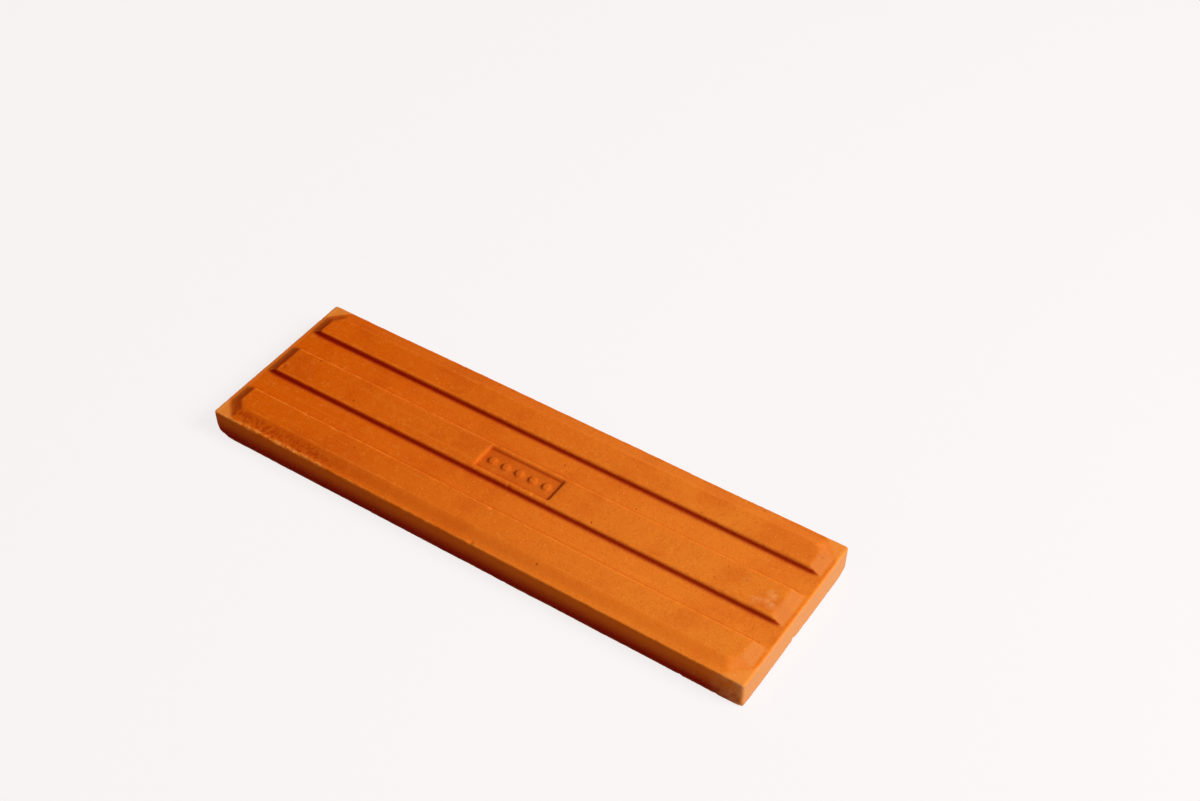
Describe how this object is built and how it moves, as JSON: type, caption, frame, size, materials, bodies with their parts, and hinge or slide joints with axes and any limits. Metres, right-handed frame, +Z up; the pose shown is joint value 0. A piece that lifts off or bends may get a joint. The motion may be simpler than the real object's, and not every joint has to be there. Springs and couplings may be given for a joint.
{
  "type": "cladding tile",
  "caption": "Fired clay cladding tile: a thin flat slab with a plain weather face and a raised, grooved back that keys into adhesive.",
  "frame": {"origin": "middle of the plain weather face, which lies on the floor at z = 0", "axes": "+X along the tile's length, +Y across its width, +Z up out of the keyed back"},
  "size_m": [0.24, 0.075, 0.0144],
  "materials": {
    "fired_clay": "matt unglazed fired clay, orange terracotta"
  },
  "bodies": {
    "root": {"cladding_tile": "fired_clay"}
  },
  "joints": []
}
